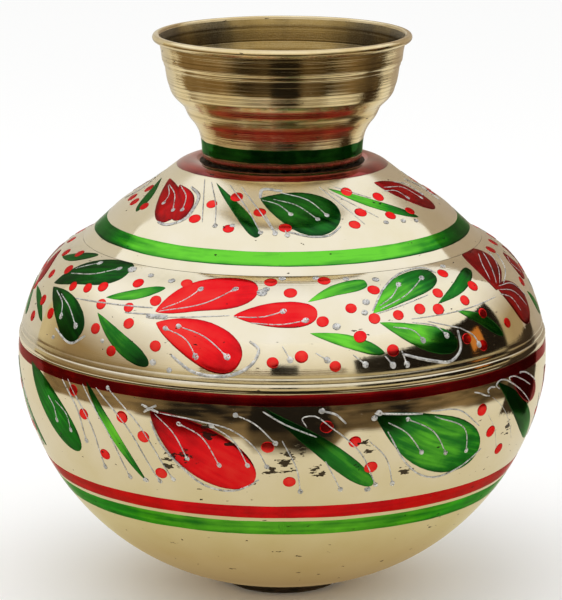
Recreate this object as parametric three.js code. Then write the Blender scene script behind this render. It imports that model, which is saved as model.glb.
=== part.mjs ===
// Brass matka: a round-bellied water pot. A cast neck and three spun shells lap over one another,
// stand on a turned foot ring, and are held together by rings of brazing metal.
// Units are millimetres, +Z is up, and the origin is the centre of the foot's flat underside.
import * as THREE from "three";

// Heights, each counted up from the one before it
const BELLY_HEIGHT = 108; // widest point of the pot, above the ground
const SEAM_RISE = 9.7; // seam between the bowl and the upper shell
const UPPER_RISE = 44; // crease where the shoulder laps over the upper shell
const SHOULDER_RISE = 34.9; // underside of the neck
const NECK_HEIGHT = 57.4; // top of the lip

// Outside radii
const BELLY_RADIUS = 120.4;
const SEAM_INSET = 0.8; // how much narrower the pot is at its seam
const CREASE_RADIUS = 90;
const HOLLOW_RADIUS = 63.3; // faint hollow half way down the shoulder
const HOLLOW_DROP = 13.3; // how far the hollow lies below the neck's underside
const NECK_FOOT_RADIUS = 35;
const WAIST_FLARE = 1.1; // how much wider the neck's waist is than its foot
const MOUTH_RADIUS = 58.2;
const FOOT_RADIUS = 26;

// How each outline runs between its ends: the angles in degrees, counted up from straight
// outwards, at which it leaves the upper end and arrives at the lower one, and how strongly
// each end pulls, as a share of the distance between them
const MOUTH_LINE = { leave: -83, arrive: -104, pulls: [0.1, 0.8] };
const THROAT_LINE = { leave: -119, arrive: -90, pulls: [0.14, 0.4] };
const SHOULDER_TOP_LINE = { leave: 20, arrive: -32, pulls: [0.33, 0.58] };
const SHOULDER_LINE = { leave: -32, arrive: -40, pulls: [0.6, 0.64] };
const UPPER_LINE = { leave: -22, arrive: -78, pulls: [0.35, 0.42] };
const BELLY_LINE = { leave: -84, arrive: -90, pulls: [0.3, 0.3] };
const BOWL_LINE = { leave: -90, arrive: -180, pulls: [0.24, 0.53] };

// Metal
const SHEET = 1.2; // wall of the spun shells
const NECK_WALL = 1.8; // wall of the cast and turned neck
const GAP = 0.3; // seating clearance between two pieces of metal
const LAP = 7; // how far each piece reaches under the one above it
const FILLET = 1.8; // leg of a ring of brazing metal

// Neck
const LIP_BEAD_RADIUS = 1.7;
const LIP_OVERHANG = 3.2; // from the mouth's wall out to the edge of the bead
const LIP_DROP = 4.1; // from the top of the lip down to the mouth's wall
const MOUTH_DEPTH = 24.7; // from the top of the lip down to the end of the mouth's wall
const MOUTH_TAPER = 4.7; // how much narrower the wall is down there
const WAIST_RISE = 4.4; // waist above the neck's underside
const RING_RISE = 19.7; // fine raised ring above the neck's underside
const RING_RELIEF = 0.6;
const RING_HALF = 1; // half of the ring's height
const NECK_EDGE = 1; // eased edges round the neck's underside
const SHOULDER_LEDGE = 2; // near-flat ledge on the shoulder round the neck

// Seam
const BEAD_HEIGHT = 3.4; // half-round edge of the upper shell
const BEAD_RELIEF = 0.35;
const GROOVE_DEPTH = 0.4;
const GROOVE_SPACING = 2.6; // between the two turned grooves over the bead
const SEAM_STEP = 0.15; // how far the upper shell's edge stands proud of the bowl
const CREASE_STEP = 0.2; // how far the shoulder's edge stands proud of the upper shell

// Foot
const BOWL_CLEARANCE = 1.6; // lowest point of the bowl, above the ground
const FOOT_WIDTH = 6;
const FOOT_CHAMFER = 0.8;

const SEGMENTS = 48;

const SPUN_BRASS = { color: 0xe3cf9c, roughness: 0.14, metalness: 1 };
const CAST_BRASS = { color: 0xc9ac67, roughness: 0.24, metalness: 1 };
const DARK_BRASS = { color: 0x4a3b28, roughness: 0.5, metalness: 1 };
const BRAZING = { color: 0xa88d55, roughness: 0.45, metalness: 1 };

// Heights above the ground, and radii that follow from the sizes above
const SEAM = BELLY_HEIGHT + SEAM_RISE;
const CREASE = SEAM + UPPER_RISE;
const NECK_BASE = CREASE + SHOULDER_RISE;
const LIP_TOP = NECK_BASE + NECK_HEIGHT;
const SEAM_RADIUS = BELLY_RADIUS - SEAM_INSET;
const NECK_BORE = NECK_FOOT_RADIUS - NECK_WALL;
const COLLAR_RADIUS = NECK_BORE - GAP;
const TUCK = SHEET + GAP; // depth of a tucked rim under the piece above it

const point = (r, z) => new THREE.Vector2(r, z);

// An outline between two points, along one of the lines above.
function flow(from, to, line, steps) {
  const span = from.distanceTo(to);
  const reach = (degrees, pull) => {
    const angle = THREE.MathUtils.degToRad(degrees);
    return point(Math.cos(angle), Math.sin(angle)).multiplyScalar(span * pull);
  };
  const leaving = from.clone().add(reach(line.leave, line.pulls[0]));
  const arriving = to.clone().sub(reach(line.arrive, line.pulls[1]));
  return new THREE.CubicBezierCurve(from, leaving, arriving, to).getPoints(steps);
}

// Runs joined end to end, without points that lie on each other.
function join(...runs) {
  const all = [];
  runs.flat().forEach((p) => {
    if (!all.length || all[all.length - 1].distanceTo(p) > 0.02) {
      all.push(p);
    }
  });
  return all;
}

// A run drawn from the top down, moved into the pot by a depth.
function inwards(points, depth) {
  return points.map((p, i) => {
    const before = points[Math.max(i - 1, 0)];
    const after = points[Math.min(i + 1, points.length - 1)];
    const along = after.clone().sub(before).normalize();
    return point(Math.max(p.x + along.y * depth, 0), p.y - along.x * depth);
  });
}

// The place at a distance back up a run from its lower end, at a depth under its surface.
function placeOn(points, back, depth) {
  let left = back;
  let i = points.length - 1;
  while (i > 1 && left > points[i].distanceTo(points[i - 1])) {
    left -= points[i].distanceTo(points[i - 1]);
    i -= 1;
  }
  const along = points[i].clone().sub(points[i - 1]).normalize();
  const place = points[i].clone().addScaledVector(along, -left);
  return point(place.x + along.y * depth, place.y - along.x * depth);
}

// The height of a run at a radius, and its radius at a height.
function heightAt(points, radius) {
  const i = points.findIndex((p, n) => n > 0 && (p.x - radius) * (points[n - 1].x - radius) <= 0);
  const share = (radius - points[i - 1].x) / (points[i].x - points[i - 1].x);
  return THREE.MathUtils.lerp(points[i - 1].y, points[i].y, share);
}

function radiusAt(points, height) {
  const i = points.findIndex((p, n) => n > 0 && p.y <= height);
  const share = (height - points[i - 1].y) / (points[i].y - points[i - 1].y);
  return THREE.MathUtils.lerp(points[i - 1].x, points[i].x, share);
}

// A section turned about the pot's axis. It closes on itself, unless it starts on the axis.
function turned(name, section, finish) {
  const loop = join(section);
  if (loop[0].x > 0) {
    loop.push(loop[0].clone());
  }
  if (THREE.ShapeUtils.isClockWise(loop)) {
    loop.reverse();
  }
  const geometry = new THREE.LatheGeometry(loop, SEGMENTS).rotateX(Math.PI / 2);
  const mesh = new THREE.Mesh(geometry, new THREE.MeshStandardMaterial(finish));
  mesh.name = name;
  return mesh;
}

// Neck: a rolled lip, a mouth that narrows a little, a throat with a fine raised ring, and a
// plain bore below that sleeves over the shoulder's collar
const mouthTop = point(MOUTH_RADIUS - LIP_OVERHANG, LIP_TOP - LIP_DROP);
const mouthEnd = point(mouthTop.x - MOUTH_TAPER, LIP_TOP - MOUTH_DEPTH);
const waist = point(NECK_FOOT_RADIUS + WAIST_FLARE, NECK_BASE + WAIST_RISE);
const mouthWall = flow(mouthTop, mouthEnd, MOUTH_LINE, 4);
const throat = flow(mouthEnd, waist, THROAT_LINE, 8);

function lipBead() {
  const r = MOUTH_RADIUS - LIP_BEAD_RADIUS;
  const z = LIP_TOP - LIP_BEAD_RADIUS;
  const start = THREE.MathUtils.degToRad(170);
  const end = THREE.MathUtils.degToRad(-110);
  return new THREE.EllipseCurve(r, z, LIP_BEAD_RADIUS, LIP_BEAD_RADIUS, start, end, true).getPoints(8);
}

function neck() {
  const ringTop = NECK_BASE + RING_RISE;
  const ring = [RING_HALF, 0, -RING_HALF].map((rise) => {
    const relief = rise === 0 ? RING_RELIEF : 0;
    return point(radiusAt(throat, ringTop + rise) + relief, ringTop + rise);
  });
  const clearOfRing = (p) => Math.abs(p.y - ringTop) > 1.3 * RING_HALF;
  const outside = join(
    mouthWall,
    throat.filter((p) => p.y > ringTop && clearOfRing(p)),
    ring,
    throat.filter((p) => p.y < ringTop && clearOfRing(p)),
  );
  const boreTop = NECK_BASE + LAP + FILLET + 2 * GAP;
  const foot = [
    point(NECK_FOOT_RADIUS + WAIST_FLARE * 0.7, NECK_BASE + NECK_EDGE),
    point(NECK_FOOT_RADIUS, NECK_BASE),
    point(NECK_BORE + NECK_EDGE, NECK_BASE),
    point(NECK_BORE, NECK_BASE + NECK_EDGE),
    point(NECK_BORE, boreTop),
  ];
  const inside = inwards(join(mouthWall, throat), NECK_WALL).filter((p) => p.y > boreTop + NECK_WALL);
  return turned("neck", join(lipBead(), outside, foot, inside.reverse()), CAST_BRASS);
}

// Shoulder: an upturned collar inside the neck, a rounded crest close round it, a faint hollow,
// and a second swelling down to the crease
const ledge = point(NECK_FOOT_RADIUS + SHOULDER_LEDGE, NECK_BASE - GAP);
const hollow = point(HOLLOW_RADIUS, NECK_BASE - HOLLOW_DROP);
const shoulderRun = join(
  flow(ledge, hollow, SHOULDER_TOP_LINE, 8),
  flow(hollow, point(CREASE_RADIUS, CREASE), SHOULDER_LINE, 6),
);

function shoulder() {
  const collar = [
    point(COLLAR_RADIUS, NECK_BASE + LAP),
    point(COLLAR_RADIUS, NECK_BASE + NECK_EDGE + GAP),
    point(COLLAR_RADIUS + NECK_EDGE, NECK_BASE - GAP),
  ];
  const outside = join(collar, shoulderRun);
  return turned("shoulder", join(outside, inwards(outside, SHEET).reverse()), SPUN_BRASS);
}

// Upper shell: a rim tucked under the shoulder, the shell down to the seam, two turned grooves,
// and an edge rolled into a half-round bead
const upperTop = placeOn(shoulderRun, -GAP, CREASE_STEP);
const upperRun = flow(upperTop, point(SEAM_RADIUS, SEAM), UPPER_LINE, 9);

function upperShell() {
  const rim = [LAP, LAP / 2, -GAP].map((back) => placeOn(shoulderRun, back, TUCK));
  const secondGroove = BEAD_HEIGHT + GROOVE_SPACING;
  const grooveEdge = secondGroove + GROOVE_SPACING / 3;
  const seam = upperRun[upperRun.length - 1];
  const outside = join(
    rim,
    upperRun.filter((p) => p.distanceTo(seam) > grooveEdge + GROOVE_DEPTH),
    [placeOn(upperRun, grooveEdge, 0)],
    [placeOn(upperRun, secondGroove, GROOVE_DEPTH)],
    [placeOn(upperRun, BEAD_HEIGHT + GROOVE_SPACING / 2, 0)],
    [placeOn(upperRun, BEAD_HEIGHT, GROOVE_DEPTH)],
    [placeOn(upperRun, BEAD_HEIGHT * 0.75, -BEAD_RELIEF * 0.7)],
    [placeOn(upperRun, BEAD_HEIGHT * 0.4, -BEAD_RELIEF)],
    [seam],
  );
  const inside = join(
    inwards(rim.slice(0, 2), SHEET),
    inwards(upperRun, SHEET).slice(1, -1),
    [placeOn(upperRun, SHEET, SHEET)],
  );
  return turned("upper_shell", join(outside, inside.reverse()), SPUN_BRASS);
}

// Bowl: a rim tucked under the upper shell, the widest point, and down to the axis
const widest = point(BELLY_RADIUS, BELLY_HEIGHT);
const bowlEdge = point(SEAM_RADIUS - SEAM_STEP, SEAM - SEAM_STEP - GAP);
const bowlRun = join(
  flow(bowlEdge, widest, BELLY_LINE, 2),
  flow(widest, point(0, BOWL_CLEARANCE), BOWL_LINE, 14),
);

function bowl() {
  const rim = [LAP, LAP / 2, SHEET].map((back) => placeOn(upperRun, back, TUCK));
  const inside = join(inwards(rim.slice(0, 2), SHEET), inwards(bowlRun, SHEET).slice(1));
  return turned("bowl", join(rim, bowlRun, inside.reverse()), SPUN_BRASS);
}

// Foot ring: flat below, and turned above to the curve of the bowl
const underBowl = (radius) => point(radius, heightAt(bowlRun, radius) - GAP);

function footRing() {
  const section = [
    underBowl(FOOT_RADIUS - FOOT_WIDTH),
    underBowl(FOOT_RADIUS),
    point(FOOT_RADIUS, FOOT_CHAMFER),
    point(FOOT_RADIUS - FOOT_CHAMFER, 0),
    point(FOOT_RADIUS - FOOT_WIDTH, 0),
  ];
  return turned("foot_ring", section, DARK_BRASS);
}

// Brazing metal: a ring in each corner over a tucked rim, and one round the foot
function fillet(name, run) {
  const start = LAP + GAP;
  const section = [
    placeOn(run, start, TUCK),
    placeOn(run, start, TUCK + SHEET),
    placeOn(run, start + FILLET, TUCK),
  ];
  return turned(name, section, BRAZING);
}

function brazing() {
  const collarTop = NECK_BASE + LAP + GAP;
  const neckFillet = [
    point(COLLAR_RADIUS, collarTop),
    point(COLLAR_RADIUS - SHEET, collarTop),
    point(COLLAR_RADIUS, collarTop + FILLET),
  ];
  const root = underBowl(FOOT_RADIUS + GAP);
  const footFillet = [root, underBowl(root.x + FILLET), point(root.x, root.y - FILLET)];
  return [
    turned("neck_brazing", neckFillet, BRAZING),
    fillet("shoulder_brazing", shoulderRun),
    fillet("belly_brazing", upperRun),
    turned("foot_brazing", footFillet, DARK_BRASS),
  ];
}

const matka = new THREE.Group();
matka.add(neck(), shoulder(), upperShell(), bowl(), footRing(), ...brazing());

export default matka;
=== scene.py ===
"""Brass matka: a cast neck over three spun shells of pale polished brass, painted with flowers.

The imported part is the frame. Its turned shells are made again here with smooth walls and fine
tool marks, and the painting is laid on them mark by mark, as a painter lays it on a turned pot.
Sizes are in millimetres, angles in degrees round the pot: 0 is the photographed side, and they
grow towards the right of the picture.
"""
import math

import bpy
import numpy as np
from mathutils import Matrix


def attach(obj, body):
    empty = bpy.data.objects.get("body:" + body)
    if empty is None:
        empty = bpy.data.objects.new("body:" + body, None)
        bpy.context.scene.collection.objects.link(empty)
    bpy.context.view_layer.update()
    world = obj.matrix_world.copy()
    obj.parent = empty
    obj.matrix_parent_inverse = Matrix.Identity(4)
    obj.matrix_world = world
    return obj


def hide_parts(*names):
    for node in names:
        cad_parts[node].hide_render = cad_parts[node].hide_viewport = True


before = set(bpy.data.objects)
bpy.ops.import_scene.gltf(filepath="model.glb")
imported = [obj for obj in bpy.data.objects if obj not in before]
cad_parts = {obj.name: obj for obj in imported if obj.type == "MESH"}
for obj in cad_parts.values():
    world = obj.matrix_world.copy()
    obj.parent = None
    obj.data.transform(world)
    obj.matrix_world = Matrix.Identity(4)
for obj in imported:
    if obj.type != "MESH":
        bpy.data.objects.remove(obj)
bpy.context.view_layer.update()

# Neck. Cast brass, turned and polished on the lathe: a rolled lip, a mouth with fine turned
# steps, two swellings, and a throat that flares a little at its foot. It sleeves over the
# shoulder's collar, and is brazed to it from inside.
NECK_BASE = 196.6
LIP_TOP = 253.97
MOUTH_RADIUS = 58.2
NECK_FOOT_RADIUS = 35
LIP_OVERHANG = 3.2
WAIST_FLARE = 1.1
NECK_WALL = 1.8
NECK_EDGE = 1
GAP = 0.3
LAP = 7
FILLET = 1.8
LIP_BEAD_RADIUS = 1.7
LIP_CURL = (170, -110)
BELOW_LIP = 4.1
ABOVE_FOOT = 4.4
NECK_ROWS = 220
TURNS = 288
SHARP_EDGE = 38
LIP_SHADE = 1.3
MM = 0.001
# How far the wall leans from upright at each height, in degrees: two swellings with a step
# between them, and two fine turned steps below the lip.
NECK_LEAN = (
    (250, 5), (247.4, 12), (246, 9), (244.4, 6), (243, 8), (242.2, 12), (241.6, 38), (241, 14),
    (240.4, 8), (239.8, 34), (239.2, 12), (238, 7), (236, 9), (233.8, 11), (232.6, 15), (231.3, 20),
    (229.7, 17), (228.4, 18), (227.4, 30), (226, 38), (224.5, 46), (223.1, 48), (221.7, 41),
    (220.4, 25), (219, 22), (217.7, 28), (216.3, 36), (214.9, 42), (213.5, 33), (212.2, 31),
    (210.8, 26), (209.5, 18), (208.1, 16), (206.7, 14), (205.4, 7), (204, 6), (202.7, 3), (201, 1),
)  # fmt: skip
# The foot's outside: out from the foot's radius and up from the neck's base.
NECK_FOOT = ((1.0, 2.8), (0.75, 1.6), (0.35, 0.8), (-0.2, 0.25), (-0.7, 0))


def flow(start, end, leave, arrive, pulls, count):
    """An outline from one point down to another. It leaves and arrives at angles that are counted
    up from straight outwards, and the pulls say how far it keeps to them."""
    start, end = np.array(start, float), np.array(end, float)
    span = np.linalg.norm(end - start)
    heading = [np.array((math.cos(math.radians(a)), math.sin(math.radians(a)))) for a in (leave, arrive)]
    near, far = start + heading[0] * span * pulls[0], end - heading[1] * span * pulls[1]
    t = np.linspace(0, 1, count)[:, None]
    return (1 - t) ** 3 * start + 3 * (1 - t) ** 2 * t * near + 3 * (1 - t) * t * t * far + t**3 * end


def steps_of(run):
    """The lengths between neighbouring points of a run."""
    return np.linalg.norm(np.diff(run, axis=0), axis=1)


def lengths_of(run):
    """How far along a run each of its points lies."""
    return np.concatenate(([0], np.cumsum(steps_of(run))))


def join(*runs):
    """Runs of points end to end, without points that lie on each other."""
    points = np.vstack([np.atleast_2d(np.array(run, float)) for run in runs])
    return points[np.concatenate(([True], steps_of(points) > 0.02))]


def headings(run):
    """The direction of a run at each of its points."""
    along = np.gradient(run, axis=0)
    return along / np.linalg.norm(along, axis=1)[:, None]


def inwards(run, depth):
    """A run drawn from the top down, moved into the pot by a depth."""
    along = headings(run)
    moved = run + np.column_stack((along[:, 1], -along[:, 0])) * depth
    return np.column_stack((np.maximum(moved[:, 0], 0), moved[:, 1]))


def place_on(run, back, depth):
    """The place at a distance back up a run from its lower end, at a depth under its surface."""
    length = lengths_of(run)
    at = length[-1] - back
    spot = np.array([np.interp(at, length, run[:, i]) for i in (0, 1)])
    along = np.array([np.interp(at, length, headings(run)[:, i]) for i in (0, 1)])
    spot = spot + along * max(at - length[-1], 0)
    return spot + np.array((along[1], -along[0])) * depth


def sign(operation, swapped=False):
    """The method behind an arithmetic sign: it adds a node, which works on numbers or on vectors."""

    def method(self, other):
        pair = (other, self) if swapped else (self, other)
        wide = any(isinstance(v, tuple) or getattr(v, "wide", False) for v in pair)
        kind = "ShaderNodeVectorMath" if wide else "ShaderNodeMath"
        return self.tree.node(kind, dict(enumerate(pair)), operation=operation)

    return method


class Socket:
    """One output of a node, which can be added to, multiplied and so on."""

    __add__, __radd__ = sign("ADD"), sign("ADD", True)
    __sub__, __rsub__ = sign("SUBTRACT"), sign("SUBTRACT", True)
    __mul__, __rmul__ = sign("MULTIPLY"), sign("MULTIPLY", True)
    __truediv__, __rtruediv__ = sign("DIVIDE"), sign("DIVIDE", True)
    __pow__, __gt__, __lt__ = sign("POWER"), sign("GREATER_THAN"), sign("LESS_THAN")

    def __init__(self, tree, output):
        self.tree, self.output = tree, output
        self.wide = output.type in ("VECTOR", "RGBA")

    def __getitem__(self, name):
        return Socket(self.tree, self.output.node.outputs[name])


class Tree:
    """The nodes of one finish or of one rule for a shape."""

    def __init__(self, nodes):
        self.nodes = nodes
        self.nodes.nodes.clear()

    def node(self, kind, values=None, **settings):
        """Adds a node: its settings first, then the values or links of its sockets."""
        made = self.nodes.nodes.new(kind)
        for name, setting in settings.items():
            if name == "stops":
                self.set_stops(made.color_ramp, setting)
            else:
                setattr(made, name, setting)
        for key, value in (values or {}).items():
            socket = made.inputs[key]
            if isinstance(value, Socket):
                self.nodes.links.new(value.output, socket)
            elif hasattr(socket.default_value, "__len__") and not isinstance(value, str):
                wide = value if isinstance(value, tuple) else (value,) * 3
                socket.default_value = (*wide, 1)[: len(socket.default_value)]
            else:
                socket.default_value = value
        shown = [out for out in made.outputs if out.enabled]
        return Socket(self, shown[0]) if shown else None

    @staticmethod
    def set_stops(ramp, stops):
        while len(ramp.elements) < len(stops):
            ramp.elements.new(0.5)
        for element, (position, colour) in zip(ramp.elements, stops):
            element.position = position
            element.color = (*(colour if isinstance(colour, tuple) else (colour,) * 3), 1)

    def call(self, operation, *values):
        """A Math node by its operation."""
        return self.node("ShaderNodeMath", dict(enumerate(values)), operation=operation)

    def mix(self, share, first, second):
        """A colour between two colours."""
        return self.node("ShaderNodeMix", {0: share, 6: first, 7: second}, data_type="RGBA")

    def ramp(self, value, *stops):
        return self.node("ShaderNodeValToRGB", {0: value}, stops=stops)

    def noise(self, where, scale, detail=2.0, kind="3D"):
        """Noise with a pattern size of about 1 / scale."""
        values = {"Vector": where, "Scale": scale, "Detail": detail}
        return self.node("ShaderNodeTexNoise", values, noise_dimensions=kind)

    def split(self, vector):
        """The X, Y and Z of a vector."""
        return self.node("ShaderNodeSeparateXYZ", {0: vector})

    def vector(self, x, y, z=0.0):
        return self.node("ShaderNodeCombineXYZ", {"X": x, "Y": y, "Z": z})

    def bump(self, relief):
        """A normal bent by a relief in millimetres."""
        return self.node("ShaderNodeBump", {"Strength": 1.0, "Distance": MM, "Height": relief})

    def surface(self, values):
        """Ends a finish in its shader."""
        shader = self.node("ShaderNodeBsdfPrincipled", values)
        self.node("ShaderNodeOutputMaterial", {"Surface": shader})


def new_rule(name, *sizes):
    """A Geometry Nodes tree with its named inputs, which come back as sockets."""
    tree = Tree(bpy.data.node_groups.new(name, "GeometryNodeTree"))
    inlets = (("Geometry", "Geometry"), *sizes, ("Finish", "Material"))
    for label, kind, *value in inlets:
        made = tree.nodes.interface.new_socket(label, in_out="INPUT", socket_type="NodeSocket" + kind)
        if value:
            made.default_value = value[0]
    tree.nodes.interface.new_socket("Geometry", in_out="OUTPUT", socket_type="NodeSocketGeometry")
    entry = tree.node("NodeGroupInput")
    return tree, [entry[inlet[0]] for inlet in inlets]


def end_rule(tree, shape, finish):
    """Ends a rule in smooth, real faces that wear the finish."""
    shape = tree.node("GeometryNodeSetShadeSmooth", {"Geometry": shape}, domain="FACE")
    shape = tree.node("GeometryNodeRealizeInstances", {0: shape})
    shape = tree.node("GeometryNodeSetMaterial", {"Geometry": shape, "Material": finish})
    tree.node("NodeGroupOutput", {0: shape})
    return tree.nodes


def apply_rule(name, start, rule, settings):
    """What a rule makes of a starting mesh, as a plain mesh object that stands at the origin."""
    piece = bpy.data.objects.new(name, start)
    bpy.context.collection.objects.link(piece)
    modifier = piece.modifiers.new("rule", "NODES")
    modifier.node_group = rule
    for socket in rule.interface.items_tree:
        if socket.name in settings:
            modifier[socket.identifier] = settings[socket.name]
    shaped = piece.evaluated_get(bpy.context.evaluated_depsgraph_get())
    mesh = bpy.data.meshes.new_from_object(shaped)
    piece.modifiers.remove(modifier)
    piece.data = mesh
    mesh.name = name
    return piece


def round_axis(tree, angle, radius, height):
    """The place at an angle round the pot."""
    x, y = radius * tree.call("SINE", angle), radius * tree.call("COSINE", angle) * -1.0
    return tree.vector(x, y, height)


def wrapped(tree, sheet, place, weld):
    """A sheet whose points are moved to their place, and welded where its edges meet."""
    moved = tree.node("GeometryNodeSetPosition", {"Geometry": sheet, "Position": place})
    return tree.node("GeometryNodeMergeByDistance", {"Geometry": moved, "Distance": weld * MM})


def lathe_rule():
    """Turns a section, given as a loop of edges, about the pot's axis into a closed solid."""
    tree, (outline, turns, finish) = new_rule("turned on a lathe", ("Turns", "Int", TURNS))
    size = tree.node("GeometryNodeAttributeDomainSize", {0: outline}, component="MESH")
    count = size["Point Count"]
    sizes = {"Size X": 1.0, "Size Y": 1.0, "Vertices X": turns + 1, "Vertices Y": count + 1}
    sheet = tree.node("GeometryNodeMeshGrid", sizes)
    place = tree.node("GeometryNodeInputPosition")
    flat = tree.split(place)
    angle = (flat["X"] + 0.5) * (2 * math.pi)
    row = tree.call("FLOORED_MODULO", tree.call("ROUND", (flat["Y"] + 0.5) * count), count)
    spot = {"Geometry": outline, "Value": place, "Index": row}
    spot = tree.node("GeometryNodeSampleIndex", spot, data_type="FLOAT_VECTOR", domain="POINT")
    spot = tree.split(spot)
    solid = wrapped(tree, sheet, round_axis(tree, angle, spot["X"], spot["Z"]), 0.004)
    sharp = tree.node("GeometryNodeInputMeshEdgeAngle") > math.radians(SHARP_EDGE)
    smooth = {"Geometry": solid, "Selection": sharp, "Shade Smooth": False}
    solid = tree.node("GeometryNodeSetShadeSmooth", smooth, domain="EDGE")
    return end_rule(tree, solid, finish)


lathe = lathe_rule()


def turned(name, section, finish, turns=TURNS):
    """A piece turned from a section, which is drawn down the outside and back up the inside."""
    loop = np.array(join(section)) * MM
    outline = bpy.data.meshes.new(name)
    edges = [(i, (i + 1) % len(loop)) for i in range(len(loop))]
    outline.from_pydata([(r, 0, z) for r, z in loop], edges, [])
    return apply_rule(name, outline, lathe, {"Turns": turns, "Finish": finish})


# Where dark flecks gather, in millimetres: x, y, z and size.
FLECK_SPOTS = (
    (-32, -115, 99, 7), (-47, -106, 84, 7), (-41, -110, 88, 5), (-22, -117, 94, 5), (1, -117, 87, 8),
    (-5, -116, 83, 5), (15, -115, 82, 6), (36, -113, 93, 6), (53, -102, 79, 6), (8, -118, 93, 5),
    (98, -63, 88, 6),
)  # fmt: skip


def new_finish(name):
    """An empty material: itself, its tree, and the place on the pot in millimetres."""
    material = bpy.data.materials.new(name)
    material.use_nodes = True
    tree = Tree(material.node_tree)
    place = tree.node("ShaderNodeTexCoord")["Object"] * 1000.0
    return material, tree, place


def rings_of(tree, place):
    """Distance from the axis and height, so that noise read at them makes rings round the pot."""
    apart = tree.split(place)
    radius = tree.call("SQRT", apart["X"] * apart["X"] + apart["Y"] * apart["Y"])
    return tree.vector(radius, apart["Z"]), radius, apart["Z"]


def flecks_of(tree, place):
    """Small ragged dark flecks, close together in the listed spots."""
    worn = 0.0
    for x, y, z, size in FLECK_SPOTS:
        apart = tree.node("ShaderNodeVectorMath", {0: place, 1: (x, y, z)}, operation="DISTANCE")
        worn = tree.call("MAXIMUM", worn, 1.0 - apart["Value"] / size)
    return tree.noise(place * (0.34, 0.34, 1.0), 0.62, 8.0) + worn * 0.32 > 0.71


def brass(name, pale, deep, roughness, tool_lines, hand_waves, tarnish, grime_and_shade, scored=(), dull=()):
    """Polished brass: turning lines with tarnish left in them, slow hammered waves, smudges, dark
    flecks, dark bands at the joints and the bottom that are partly soiling and partly painted shade,
    and a duller inside whose stain is partly painted shade. The dark bands, scored lines and dull
    zones are given as height, spread and strength."""
    material, tree, place = new_finish(name)
    rings, radius, height = rings_of(tree, place)

    def near(level, spread):
        """1 at a height, fading to 0 at a spread above and below it."""
        return tree.call("MAXIMUM", 1.0 - tree.call("ABSOLUTE", (height - level) / spread), 0.0)

    waves = tree.noise(place, 0.018, 1.0) - 0.5
    busy = tree.noise(rings, 0.16, 1.0, "2D") + tree.noise(place, 0.04, 2.0)
    lines = (tree.noise(rings, 0.9, 3.0, "2D") - 0.5) * busy
    fine = tree.noise(rings, 5.0, 1.0, "2D") - 0.5
    close = tree.noise(rings, 1.6, 2.0, "2D") - 0.5
    smudge = tree.noise(place, 0.045, 4.0)
    grain = tree.noise(place, 1.6, 3.0)
    flecks = flecks_of(tree, place)
    facing = {0: place * (1.0, 1.0, 0.0), 1: tree.node("ShaderNodeNewGeometry")["Normal"]}
    outward = tree.node("ShaderNodeVectorMath", facing, operation="DOT_PRODUCT")["Value"] / radius
    inside = tree.ramp(outward * -1.0, (0.0, 0.0), (0.1, 1.0)) * (height < LIP_TOP - LIP_SHADE)
    # The inside's stain is tarnish, made lighter across the middle and darker towards the left and right
    # as painted shade.
    across = tree.call("ABSOLUTE", tree.split(place)["X"]) / 50.0
    patches = tree.noise(place * (1.0, 1.0, 0.25), 0.045, 3.0) * 0.6
    patches = patches + tree.ramp(across, (0.2, 0.35), (0.6, 0.1))
    relief = waves * hand_waves + lines * tool_lines + fine * (tool_lines * 0.25) - flecks * 0.01
    relief = relief + grain * inside * 0.1
    for level, spread, depth in scored:
        relief = relief + close * near(level, spread) * depth
    ragged = tree.noise(place, 0.35, 3.0) * 1.2 + 0.4
    # Dark flecks, and dark bands at given heights that are partly soiling and partly painted shade.
    dirt_and_shade = flecks * 0.95
    for level, spread, strength in grime_and_shade:
        dirt_and_shade = tree.call("MAXIMUM", dirt_and_shade, near(level, spread) * ragged * strength)
    dirt_and_shade = tree.call("MINIMUM", dirt_and_shade, 0.97)
    colour = tree.mix(tree.ramp(smudge, (0.35, 0.0), (0.7, 1.0)), pale, deep)
    inside_stain_and_shade = tree.mix(tree.ramp(patches, (0.4, 0.0), (0.6, 1.0)), (0.045, 0.03, 0.012), (0.32, 0.21, 0.06))
    colour = tree.mix(tree.ramp(lines, (0.02, 0.0), (0.16, 1.0)) * tarnish, colour, (0.26, 0.16, 0.05))
    colour = tree.mix(inside * (grain * 0.3 + 0.75), colour, inside_stain_and_shade)
    colour = tree.mix(dirt_and_shade, colour, (0.035, 0.022, 0.012))
    rough = roughness + tree.ramp(smudge, (0.45, 0.0), (0.75, 1.0)) * 0.05 + dirt_and_shade * 0.3 + inside * 0.22
    for level, spread, strength in dull:
        rough = rough + near(level, spread) * strength
    values = {"Base Color": colour, "Roughness": rough, "Metallic": 1.0, "Normal": tree.bump(relief)}
    tree.surface(values)
    return material


cast_brass = brass(
    "cast brass",
    pale=(0.95, 0.84, 0.57),
    deep=(0.74, 0.58, 0.3),
    roughness=0.08,
    tool_lines=0.11,
    hand_waves=0.05,
    tarnish=0.55,
    # Near black round the neck's foot and a dark line under the lip: partly soiling, partly painted shade
    # where the foot turns under and in the groove.
    grime_and_shade=((NECK_BASE - 1, 8, 0.95), (LIP_TOP - 4, 0.7, 0.4)),
)

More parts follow.
